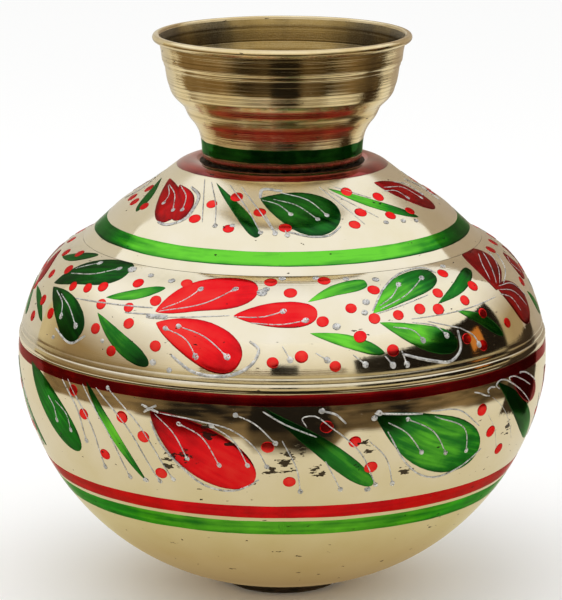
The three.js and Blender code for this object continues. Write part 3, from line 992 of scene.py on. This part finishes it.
# Upper frieze. A large red flower and green leaves on a grey stem, over the widest part of the
# upper shell, with berries scattered between them.
frieze(
    "upper",
    upper_run,
    leaves=(
        ((-79, 12), (-62.5, 1.5), 6, 1, 0.9, 0.6, (0.7, 0.7, 0.9)),
        ((-69.5, 23), (-44, 5.5), 17, -3, 0.9, 0.35, (1.0, 0.85, 0.9)),
        ((-68.5, 24.5), (-49.5, 41), 16, -2, 0.9, 0.35, (1.0, 0.75, 1.0)),
        ((-81, 29.5), (-66.5, 40.5), 4.5, -2, 0.9, 0.7, (0.6, 0.6, 0.7)),
        ((-45.5, 21), (-30, 11.5), 5.5, 1, 0.9, 0.6, (0.5, 0.3, 0.5)),
        ((-46, 28.5), (-29, 47), 8, 1, 0.9, 0.5, (0.3, 0.5, 1.0)),
        ((6, 15.5), (22, 6.5), 7, -1.5, 0.9, 0.3, (0.0, 0.2, 0.5)),
        ((21, 22.5), (43, 6.5), 13.5, -2.5, 0.9, 0.4, (0.0, 0.3, 1.0)),
        ((38.5, 22), (56.5, 9), 6.5, 1, 0.9, 0.35, (0.6, 0.6, 1.0)),
        ((6, 30), (22, 40.5), 6, -1, 0.9, 0.6, (0.2, 0.1, 0.6)),
        ((22, 27), (40.5, 41), 11.5, 1, 0.9, 0.4, (0.4, 0.1, 0.7)),
        ((43, 26.5), (56, 42.5), 5.5, -1.5, 0.9, 0.6, (0.5, 0.3, 0.7)),
        ((78, 31), (86, 45), 6, 1, 0.9, 0.6, (0.5, 0.3, 0.7)),
        ((88, 30), (99, 43.5), 8, -1, 0.9, 0.4, (0.4, 0.3, 0.8)),
    ),
    petals=(
        ((-30, 23.5), (-6, 9.5), 18.5, -4, (0.3, 0.4, 0.5)),
        ((-29, 28.5), (-9, 43.5), 19, -2, (0.3, 0.4, 0.6)),
        ((-11, 22.5), (8, 21.5), 12.5, -0.5, (0.5, 0.4, 0.4)),
        ((-87.4, 11.6), (-80.9, 27), 12, 1, (0.8, 0.8, 0.8)),
        ((60.5, 23), (71, 0.8), 22, -2, (0.9, 0.85, 0.9)),
        ((83.4, 11.5), (84, 26), 13, 2, (0.9, 0.85, 0.9)),
        ((61.5, 22), (72, 40.5), 19, -2, (0.9, 0.85, 0.9)),
    ),
    berries=(
        (-80, 9.5), (-75, 20.5), (-73.5, 41), (-71.5, 5.5), (-70.5, 32), (-67.5, 14.5), (-63.5, 35.5),
        (-59.5, 20.5), (-53.5, 19), (-48.5, 16.5), (-46, 24.5), (-45, 35.5), (-39, 43.5), (-38.5, 11),
        (-37.5, 23.5), (-36, 30.5), (-31, 18.5), (-28, 38.5), (-25, 7.5), (-3, 4), (-2, 42.5),
        (2, 10.5), (4, 40), (9, 25), (11, 3.5), (11, 44.5), (16, 19.5), (17, 32.5), (21, 25), (23, 11),
        (24, 39.5), (27, 24.5), (33, 23), (38, 24.5), (40, 17), (43.5, 39.5), (46, 7.5), (47, 23),
        (48, 44), (51, 30.5), (52.5, 17.5), (59, 38), (78, 6), (78, 26), (88, 6), (89.5, 24), (94, 35),
        (97, 29),
    ),
    veins=(
        ((-64.5, 12.5), (-56.5, 4.5)), ((-64.5, 15.5), (-53.5, 10.5), (-47.5, 4.5)),
        ((-65.5, 25), (-59.5, 30), (-58, 36)), ((-62.5, 25.5), (-56.5, 29.5), (-51, 37.5)),
        ((-29, 22.5), (-23, 15.5), (-20, 9)), ((-29.5, 23.5), (-17, 16), (-11, 8)),
        ((-11, 23), (-4, 22.5), (1, 19.5)), ((-7, 25.5), (0, 26), (6, 24)),
        ((23, 19.5), (27, 15.5), (31, 8.5)), ((23, 21), (31, 15.5), (39, 7)),
        ((25, 29.5), (30, 32.5), (32, 38)), ((30, 28.5), (36, 32), (38.5, 37.5)),
        ((0, 35.5), (2, 42.5)), ((7, 38.5), (10, 42.5)), ((15, 40), (18, 45.5)), ((22, 41.5), (24, 47)),
        ((26, 40), (27, 47.5)), ((42.5, 34.5), (46, 39.5), (47, 44.5)),
    ),
    vein_drops=(3, 0),
    dotted_veins=(
        ((-27, 30), (-21, 34.5), (-18, 42.5)), ((-24, 28.5), (-17, 32.5), (-11, 41.5)),
    ),
    dotted_vein_drops=(3.2, 2.6),
    strokes=(
        (((-59, 40.5), (-51, 44), (-47.5, 39.5)), 1.2),
        (((-7, 33.5), (-5, 37), (-6, 42.5), (-9, 47), (-14, 49), (-19, 47.5), (-24, 41.5)), 1.6),
        (((-55.5, 25), (-44, 23.5), (-31, 22)), 0.8), (((-38, 26), (-30.5, 25)), 0.8),
        (((-32, 26), (-26.5, 25.5)), 2.4), (((-27, 25.5), (-12, 22.5)), 0.6),
        (((21, 21.5), (26, 10.5), (35, 2), (42, 2), (44, 6.5)), 1.0),
        (((26, 41.5), (33, 46), (38, 47.5), (41, 43.5), (41.5, 35)), 1.4),
        (((68.5, 3.5), (63.5, 9.5), (60.5, 18)), 0.6), (((71.5, 4), (67, 11), (62, 20.5)), 0.6),
        (((75, 5.5), (71, 12), (63.5, 21)), 0.6), (((78, 9), (74, 15), (65, 22)), 0.6),
        (((62, 21.5), (70.5, 24), (75, 32)), 0.6), (((61.5, 23), (68.5, 27), (72.5, 35.5)), 0.6),
        (((61, 25), (65.5, 29), (67.5, 36)), 0.6), (((84, 13), (80, 17), (83, 24)), 0.6),
        (((30, 27), (43, 27), (58.5, 25.5)), 0.6), (((34, 29), (42.5, 34.5)), 0.6),
        (((22, 23), (37, 17)), 0.6),
    ),
    drops=(
        (-59, 44.5, 2), (-44, 4, 4.5), (-42, 40, 2.2), (-36.5, 5.5, 3), (-29.5, 7, 3), (-28, 45.5, 3),
        (-24, 48, 2.6), (-5, 10.5, 4.5), (-4, 8.5, 3), (0, 1.5, 3.2), (9, 1.5, 3), (12, 27.5, 3.4),
        (17, 3, 3), (19, 22, 3), (20, 17, 3.4), (25, 5, 3), (48.5, 3.5, 3),
    ),
    petal_tip=0.42,
)  # fmt: skip

# Lower frieze. The broadest leaves and petals, with long liner strokes that run down between
# them, between the seam band and the pair of bands below.
frieze(
    "lower",
    bowl_run,
    leaves=(
        ((-68, 3), (-49.5, 36.5), 19, -1, 0.9, 0.5, (0.8, 0.45, 0.7)),
        ((-45, 2.5), (-31.5, 45), 5, -1, 0.7, 0.7, (1.0, 0.0, 0.8)),
        ((-4, 5.5), (20, 44.5), 9.5, -1.5, 1.2, 0.5, (0.8, 0.5, 0.5)),
        ((19, 10.5), (47.5, 36.5), 26.5, 2.5, 0.9, 0.5, (0.9, 0.25, 0.6)),
        ((51.3, 5.8), (75.7, 43.2), 11, 0, 0.9, 0.6, (0.9, 0.8, 0.8)),
        ((97, 7), (110, 44), 7, 1, 0.8, 0.6, (0.8, 0.3, 0.8)),
    ),
    petals=(
        ((-28, 11), (-6, 40.5), 25, 1, (0.9, 0.5, 0.4)),
        ((56.5, 6), (70.5, 19.5), 12.5, 0, (1.2, 1.2, 1.2)),
        ((80, 12), (99, 41), 21, 1, (0.8, 0.5, 0.5)),
    ),
    berries=(
        (-49, 8.5), (-46, 18), (-41.5, 35.5), (-35, 15.5), (-30, 23), (-27, 40), (-3, 23.5),
        (1.5, 40.5), (9, 14.5), (15, 22), (19, 35), (46.3, 16.3), (50.5, 28.1), (56.2, 39.4), (79, 32),
        (91, 11), (100, 20), (104, 37),
    ),
    veins=(
        ((-59, 15), (-57, 19), (-56.5, 26.5)), ((-56, 16), (-52, 21), (-51.5, 29)),
        ((-27, 11.5), (-23, 19), (-20, 32)), ((-53, 5), (-48, 16.5), (-46.5, 32)),
        ((-51, 4), (-44, 23), (-42.5, 43.5)), ((-46, 4.5), (-39, 25), (-35.5, 46)),
        ((-42, 4.5), (-34, 19.5), (-27.5, 45.5)),
        ((-26, 11), (-17, 13), (-10, 16.5), (-5, 25.5), (-3, 34)), ((22, 14.5), (26, 19.5), (31, 31.5)),
        ((33, 14.5), (42, 24.5), (43.5, 35.5)), ((0, 20.5), (3, 34), (4, 47)),
        ((9, 30.5), (11, 38.5), (13, 46.5)), ((18, 22), (22, 30.5), (25, 46)),
        ((5, 14.5), (4, 10.5), (6, 9.5), (10, 15), (16, 26.5), (21, 45.5)),
        ((83, 15), (88, 20), (93, 33)), ((82, 17), (85, 25), (88, 36)), ((94, 8), (103, 24), (105, 46)),
        ((76, 22), (80, 34), (82, 46)),
    ),
    dotted_veins=(
        ((-39, 3), (-31, 17.5), (-24, 43.5)), ((-22, 14.5), (-17, 19.5), (-13, 34)),
        ((-15, 14), (-10, 21), (-7, 33.5)), ((-10, 9), (-6, 12.5), (-1, 22.5)),
        ((26, 13.5), (33, 21.5), (37.5, 34)),
    ),
    strokes=(
        (((-28, 15), (-26, 25), (-22, 35), (-17, 44), (-11, 46), (-7, 42.5), (-5, 39.5)), 1.1),
        (((-4, 7.5), (0, 12.5), (7, 19)), 0.8), (((19, 10), (30, 12.5)), 1.0),
        (((32, 12), (39, 13.5), (46, 23.5)), 0.7),
        (((22, 18.5), (27, 34.5), (30.5, 41), (35.5, 45), (42.5, 42.5), (48.5, 35.5)), 0.9),
        (((8, 7.5), (11, 9.5), (13, 13.5)), 1.0),
        (((43.7, 7.4), (45.2, 8.3), (47.3, 10.2), (48.5, 10.8)), 0.7),
        (((48.3, 9.5), (47.9, 8.3), (48.6, 7.3), (50.4, 7.6)), 0.8),
        (((52.1, 9.2), (50.8, 7), (51.8, 5.4), (54.3, 6), (56.5, 8.1), (60.5, 12.8), (67, 21.5)), 0.7),
        (((56.1, 7.1), (55.8, 5.8), (57.4, 5.7), (60.7, 8.1), (66.1, 13.3)), 0.7),
        (((60.8, 6.1), (60.4, 5.4), (62.2, 5.8), (65.3, 8.2), (70, 13.4)), 0.8),
        (((49.5, 11.8), (53.2, 17.3), (56.4, 23.9), (61.4, 36.8)), 0.25),
        (((48.4, 19), (51.1, 25.5), (55.2, 39.3)), 0.25), (((-30, 8.5), (-26, 11)), 1.2),
        (((-29.5, 11.5), (-26.5, 8)), 1.2),
    ),
    drops=(
        (-31.5, 45, 2.8), (8, 7.5, 2.8), (19, 12, 2.8), (20, 10, 2.8), (19, 46.5, 2.8),
    ),
    petal_tip=0.5,
    berry=5.6,
)  # fmt: skip

# Floor, light and camera. A pale table under a soft sky of light, with the dark of the room
# beyond the table's edge, which the polished brass mirrors.
world = bpy.data.worlds.new("studio")
world.use_nodes = True
bpy.context.scene.world = world
sky = Tree(world.node_tree)
white = sky.node("ShaderNodeBackground", {"Color": (1, 1, 1), "Strength": 1.0})
sky.node("ShaderNodeOutputWorld", {"Surface": white})


def stage_sheet(name, points, finish, seen_by_camera):
    """A flat or bent sheet of the studio, from rows of points in millimetres."""
    rows, columns = len(points), len(points[0])
    mesh = bpy.data.meshes.new(name)
    faces = [
        (i * columns + j, i * columns + j + 1, (i + 1) * columns + j + 1, (i + 1) * columns + j)
        for i in range(rows - 1)
        for j in range(columns - 1)
    ]
    mesh.from_pydata([tuple(np.array(p) * MM) for row in points for p in row], [], faces)
    mesh.materials.append(finish)
    made = bpy.data.objects.new(name, mesh)
    bpy.context.collection.objects.link(made)
    if not seen_by_camera:
        made.visible_camera = made.visible_diffuse = made.visible_shadow = False
    return made


def matt(name, colour):
    """A dull finish, of one colour or of a colour that follows from the place in millimetres."""
    material, tree, place = new_finish(name)
    colour = colour(tree, place) if callable(colour) else colour
    tree.surface({"Base Color": colour, "Roughness": 1.0, "Specular IOR Level": 0.0})
    return material


REACH = 6000
pale_table = matt("pale table", (0.95, 0.95, 0.945))
table_top = [[(-REACH, y, 0), (REACH, y, 0)] for y in (-REACH, REACH)]
floor = stage_sheet("floor", table_top, pale_table, True)
floor.visible_glossy = False


def arc(radius, height, start, end, ragged=0.0, forward=0):
    """Points at a radius, between two directions as seen from the pot, with a ragged height."""
    angles = np.radians(np.linspace(start, end, 96))
    heights = height + hand.normal(0, 1, len(angles)) * ragged
    y = -forward - radius * np.cos(angles)
    return list(zip(radius * np.sin(angles), y, heights))


# What the cards are placed by: a spot in the belly's front, its height and how far forward it is.
MIRROR_HEIGHT = 100
MIRROR_FORWARD = 60


def standing(distance, start, end, low, high):
    """A card that stands round the pot between two directions and two heights, in degrees."""
    heights = [MIRROR_HEIGHT + distance * math.tan(math.radians(e)) for e in (low, high)]
    return [arc(distance, h, start, end, distance * 0.008, MIRROR_FORWARD) for h in heights]


def round_room(tree, place):
    """Distance and height in metres, and direction from 0 to 1 with the photographed side at 0.5."""
    _, radius, height = rings_of(tree, place)
    apart = tree.split(place)
    turn = tree.call("ARCTAN2", apart["X"], apart["Y"] * -1.0) / (2 * math.pi) + 0.5
    return radius / 1000.0, turn, height / 1000.0


def by_direction(tree, turn, *stops):
    """A value that changes with the direction, given in degrees."""
    return tree.ramp(turn, *((degrees / 360 + 0.5, value) for degrees, value in stops))


def table_and_room(tree, place):
    """The pot's golden shadow, the pale table, and the brown and dark room past the table's edge."""
    radius, turn, _ = round_room(tree, place)
    mottle = tree.noise(place, 0.008, 5.0) - 0.5
    table = tree.ramp(
        radius * 2.5,
        (0.1, (0.33, 0.23, 0.11)),
        (0.18, (0.48, 0.37, 0.19)),
        (0.25, (0.61, 0.53, 0.31)),
        (0.35, (0.7, 0.63, 0.45)),
        (0.52, (0.76, 0.7, 0.56)),
        (1.0, (0.8, 0.74, 0.6)),
    )
    edge = by_direction(
        tree, turn, (-120, 0.9), (-112, 0.42), (-60, 0.4), (-46, 0.36), (-40, 0.29), (-14, 0.25),
        (-10, 0.215), (18, 0.22), (24, 0.3), (28, 0.31), (44, 0.29), (48, 0.4), (60, 0.42), (75, 0.38),
        (112, 0.36), (120, 0.9),
    )  # fmt: skip
    beyond = tree.ramp(radius + mottle * 0.08 - edge, (0.0, 0.0), (0.03, 1.0))
    middle = by_direction(tree, turn, (-16, 0.1), (-11, 1.0), (17, 1.0), (22, 0.1))
    middle = middle * tree.ramp(radius, (0.24, 0.6), (0.37, 1.0))
    sides = by_direction(
        tree, turn, (-60, 0.2), (-50, 0.5), (-42, 0.8), (-12, 0.7), (20, 0.55), (36, 0.6), (46, 0.75),
        (52, 0.6), (70, 0.25), (90, 0.6),
    )  # fmt: skip
    sides = sides * tree.ramp(radius, (0.24, 0.3), (0.48, 1.0))
    dim = tree.ramp(tree.call("MAXIMUM", middle, sides) + mottle * 1.5, (0.15, 0.0), (0.8, 1.0))
    room = tree.mix(dim, (0.25, 0.165, 0.075), (0.014, 0.011, 0.008))
    return tree.mix(beyond, table, room)


WALL_DISTANCE = 2400
WALL_HEIGHT = 1700


def warm_wall(tree, place):
    """A wall that is golden brown near the floor, browner at both sides, and white high up."""
    _, turn, height = round_room(tree, place)
    stops = (-125, 0.0), (-105, 1.0), (-65, 0.8), (-45, 0.0), (100, 0.0), (120, 0.8)
    low = tree.mix(by_direction(tree, turn, *stops), (0.6, 0.5, 0.3), (0.28, 0.19, 0.09))
    up = tree.ramp(height / (WALL_HEIGHT * MM), (0.28, 0.0), (0.62, 0.6), (1.0, 1.0))
    return tree.mix(up, low, (1.0, 0.99, 0.96))


floor_card = matt("table and room in the mirror", table_and_room)
stage_sheet("table_and_room", [arc(r, 0, -180, 180) for r in (5, 400, 4000)], floor_card, False)
wall_card = matt("warm wall", warm_wall)
wall = [arc(WALL_DISTANCE, z, -180, 180) for z in (1, WALL_HEIGHT)]
stage_sheet("room_wall", wall, wall_card, False)
BACKDROP_DISTANCE = 600
BACKDROP_SIZE = (800, 760)
width, height = BACKDROP_SIZE
for side, start, colour in (("left", -width, (0.6, 0.56, 0.48)), ("right", 0, (0.42, 0.35, 0.27))):
    paper = matt(side + " backdrop in the mirror", colour)
    sheet = [[(x, BACKDROP_DISTANCE, z) for x in (start, start + width)] for z in (0, height)]
    stage_sheet(side + "_backdrop", sheet, paper, False)
dark = matt("dark cloth", (0.012, 0.009, 0.006))
brown = matt("brown cloth", (0.18, 0.12, 0.06))
leather = matt("orange leather", (0.5, 0.17, 0.03))
wood = matt("dark wood", (0.045, 0.03, 0.018))
# Each card: its distance, its two directions and its two heights.
for name, rows, finish in (
    ("dark_case", standing(800, 32, 73, 8, 22), dark),
    ("dark_cloth", standing(820, 73, 112, 3, 24), dark),
    ("camera_body", standing(1200, -5, 7, 12, 21), dark),
    ("camera_arm", standing(1210, -36, 28, 14, 18), brown),
    ("leather_strap", standing(790, 90, 98, 10, 17), leather),
    ("wooden_box", standing(280, 104, 127, -17.5, 6), wood),
):
    stage_sheet(name, rows, finish, False)

# A broad lamp over the pot, up and to the left of the camera; its sizes are in metres.
lamp = bpy.data.lights.new("overhead softbox", "AREA")
lamp.shape = "RECTANGLE"
lamp.size, lamp.size_y = 1.6, 1.2
lamp.energy = 6
overhead = bpy.data.objects.new("overhead softbox", lamp)
overhead.location = (-0.3, -0.3, 1.7)
overhead.rotation_euler = (math.radians(-10), math.radians(-10), 0)
overhead.visible_glossy = False
bpy.context.collection.objects.link(overhead)

CAMERA_ELEVATION = 12.5
CAMERA_DISTANCE = 1508
AIM_HEIGHT = 131.4
AIM_SIDE = -0.55
LENS = 198.8
eye = bpy.data.cameras.new("camera")
eye.lens = LENS
eye.sensor_width = 36
camera = bpy.data.objects.new("camera", eye)
tilt = math.radians(CAMERA_ELEVATION)
camera.location = (
    AIM_SIDE * MM,
    -CAMERA_DISTANCE * math.cos(tilt) * MM,
    (AIM_HEIGHT + CAMERA_DISTANCE * math.sin(tilt)) * MM,
)
camera.rotation_euler = (math.pi / 2 - tilt, 0, 0)
bpy.context.collection.objects.link(camera)
bpy.context.scene.camera = camera
bpy.context.scene.view_settings.view_transform = "Standard"
